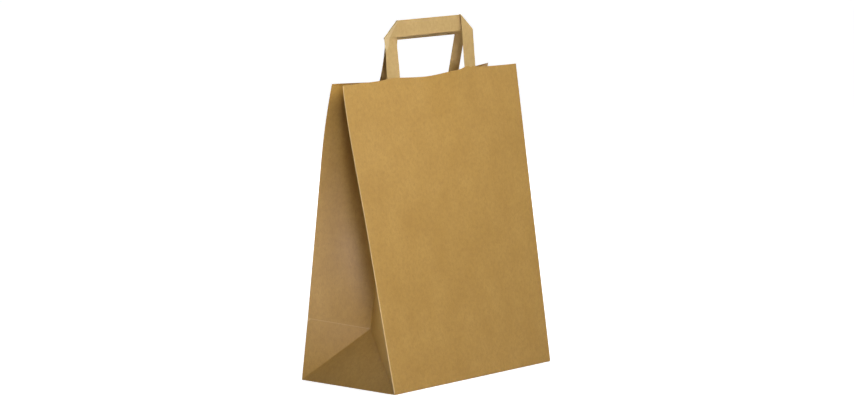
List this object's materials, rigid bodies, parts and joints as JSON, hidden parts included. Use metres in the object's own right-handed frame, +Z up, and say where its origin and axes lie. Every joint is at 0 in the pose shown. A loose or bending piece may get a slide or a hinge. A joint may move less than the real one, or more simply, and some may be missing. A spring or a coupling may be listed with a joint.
{
  "type": "paper carrier bag",
  "caption": "Standing kraft paper carrier bag with side gussets, a folded block base and flat folded-tape handles glued inside the rim.",
  "frame": {"origin": "middle of the base, on the surface that the bag stands on", "axes": "+X along the width, to the right as seen from the front; +Y from the front panel to the back panel; +Z up"},
  "size_m": [0.25, 0.1401, 0.3888],
  "materials": {
    "kraft_paper": "matte brown kraft, machine finished, with fine fibres",
    "handle_tape": "matte pale kraft tape, folded in layers",
    "patch_paper": "matte brown kraft"
  },
  "bodies": {
    "root": {"bag_body": "kraft_paper", "front_handle": "handle_tape", "back_handle": "handle_tape", "front_handle_patch": "patch_paper", "back_handle_patch": "patch_paper"}
  },
  "joints": []
}
